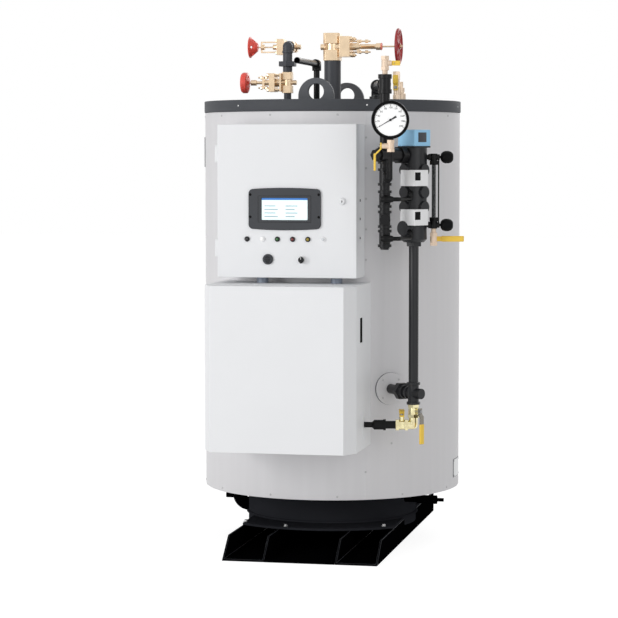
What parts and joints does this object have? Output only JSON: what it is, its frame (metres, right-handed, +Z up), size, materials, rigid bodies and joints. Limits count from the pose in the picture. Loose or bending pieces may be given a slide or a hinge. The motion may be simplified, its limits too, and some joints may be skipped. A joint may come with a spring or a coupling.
{
  "type": "vertical steam boiler",
  "caption": "Vertical cylindrical steam boiler on a skid, with a hinged control panel, burner cover, water column trim and valves on top.",
  "frame": {"origin": "on the floor, under the boiler's axis", "axes": "+X right and +Y back, seen from the control panel's side; +Z up"},
  "size_m": [1.0075, 1.323, 1.833],
  "materials": {
    "shell_paint": "satin light grey coat on sheet steel",
    "panel_paint": "fine textured near-white powder coat",
    "dark_paint": "satin charcoal paint",
    "skid_paint": "black paint on plate",
    "pipe_iron": "painted malleable iron fittings and pipe",
    "valve_bronze": "pale cast bronze",
    "ball_brass": "bright turned brass",
    "lever_yellow": "yellow vinyl sleeve",
    "wheel_red": "red enamel on a cast wheel",
    "steam_wheel_red": "dark red enamel on a cast wheel",
    "control_blue": "pale blue enamel",
    "probe_white": "white enamel",
    "gauge_case": "black enamel case with a white dial",
    "sight_glass": "dark sight glass",
    "black_plastic": "black moulded plastic",
    "screen_glass": "lit display",
    "bright_steel": "plated steel",
    "galvanised": "plain steel flue stub"
  },
  "bodies": {
    "boiler": {"boiler_jacket": "shell_paint", "wall_flange": "shell_paint", "control_enclosure": "panel_paint", "burner_cover": "panel_paint", "top_band": "dark_paint", "top_head": "dark_paint", "lifting_lug_front": "dark_paint", "lifting_lug_rear": "dark_paint", "skid_rail_left": "skid_paint", "skid_rail_right": "skid_paint", "skid_floor": "skid_paint", "base_skirt": "skid_paint", "bottom_head": "skid_paint", "bottom_drains": "skid_paint", "panel_conduits": "skid_paint", "column_leg": "pipe_iron", "water_column": "pipe_iron", "steam_tree": "pipe_iron", "steam_line": "pipe_iron", "tree_tubes": "pipe_iron", "gauge_siphon": "pipe_iron", "gauge_cocks": "pipe_iron", "branch_pipe": "pipe_iron", "steam_pipe": "pipe_iron", "feed_stack": "pipe_iron", "vent_pipe": "pipe_iron", "steam_gate_valve": "valve_bronze", "feed_gate_valve": "valve_bronze", "supply_gate_valve": "valve_bronze", "safety_valve": "valve_bronze", "tree_vent_valve": "valve_bronze", "bleed_valve": "valve_bronze", "gauge_valve": "ball_brass", "glass_drain_valve": "ball_brass", "column_drain_valve": "ball_brass", "branch_valve": "ball_brass", "level_control": "control_blue", "probe_boxes": "probe_white", "pressure_gauge": "gauge_case", "gauge_glass": "sight_glass", "flue_outlet": "galvanised"},
    "panel_door": {"control_door": "panel_paint", "screen_bezel": "black_plastic", "display_screen": "screen_glass", "pilot_lamps": "bright_steel", "alarm_horn": "black_plastic", "selector_collar": "black_plastic", "door_latch": "bright_steel"},
    "selector": {"selector_knob": "black_plastic"},
    "steam_handwheel": {"steam_wheel": "steam_wheel_red"},
    "feed_handwheel": {"feed_wheel": "wheel_red"},
    "supply_handwheel": {"supply_wheel": "wheel_red"},
    "gauge_lever": {"gauge_valve_lever": "lever_yellow"},
    "glass_lever": {"glass_drain_lever": "lever_yellow"},
    "drain_lever": {"column_drain_lever": "lever_yellow"},
    "branch_lever": {"branch_valve_lever": "lever_yellow"},
    "vent_handle": {"tree_vent_handle": "lever_yellow"},
    "bleed_handle": {"bleed_lever": "lever_yellow"},
    "upper_cock": {"cock_knob_upper": "black_plastic"},
    "lower_cock": {"cock_knob_lower": "black_plastic"}
  },
  "joints": [
    {"name": "door_hinge", "type": "hinge", "parent": "boiler", "child": "panel_door", "pos_m": [-0.2975, -0.536, 1.222], "axis": [0, 0, -1], "range_deg": [0, 110]},
    {"name": "selector_turn", "type": "hinge", "parent": "panel_door", "child": "selector", "pos_m": [0.0055, -0.563, 1.023], "axis": [0, 1, 0], "range_deg": [0, 90]},
    {"name": "steam_wheel_spin", "type": "hinge", "parent": "boiler", "child": "steam_handwheel", "pos_m": [0, 0, 1.7675], "axis": [1, 0, 0], "continuous": true},
    {"name": "feed_wheel_spin", "type": "hinge", "parent": "boiler", "child": "feed_handwheel", "pos_m": [-0.151, -0.07, 1.638], "axis": [-1, 0, 0], "continuous": true},
    {"name": "supply_wheel_spin", "type": "hinge", "parent": "boiler", "child": "supply_handwheel", "pos_m": [-0.151, -0.008, 1.768], "axis": [-1, 0, 0], "continuous": true},
    {"name": "gauge_lever_turn", "type": "hinge", "parent": "boiler", "child": "gauge_lever", "pos_m": [0.33187, -0.68561, 1.408], "axis": [-0.981, -0.1942, 0], "range_deg": [0, 90]},
    {"name": "glass_lever_turn", "type": "hinge", "parent": "boiler", "child": "glass_lever", "pos_m": [0.44667, -0.49252, 1.094], "axis": [-0.1942, 0.981, 0], "range_deg": [0, 90]},
    {"name": "drain_lever_turn", "type": "hinge", "parent": "boiler", "child": "drain_lever", "pos_m": [0.38095, -0.50554, 0.5095], "axis": [0.831, -0.5563, 0], "range_deg": [0, 90]},
    {"name": "branch_lever_turn", "type": "hinge", "parent": "boiler", "child": "branch_lever", "pos_m": [0.34256, -0.51239, 0.462], "axis": [0, 0, 1], "range_deg": [0, 90]},
    {"name": "vent_handle_turn", "type": "hinge", "parent": "boiler", "child": "vent_handle", "pos_m": [0.3014, -0.62437, 1.683], "axis": [0.981, 0.1942, 0], "range_deg": [0, 90]},
    {"name": "bleed_lever_turn", "type": "hinge", "parent": "boiler", "child": "bleed_handle", "pos_m": [0.237, -0.015, 1.62], "axis": [0, -1, 0], "range_deg": [0, 90]},
    {"name": "upper_cock_spin", "type": "hinge", "parent": "boiler", "child": "upper_cock", "pos_m": [0.38095, -0.50554, 1.371], "axis": [0.981, 0.1942, 0], "continuous": true},
    {"name": "lower_cock_spin", "type": "hinge", "parent": "boiler", "child": "lower_cock", "pos_m": [0.38095, -0.50554, 1.142], "axis": [0.981, 0.1942, 0], "continuous": true}
  ]
}
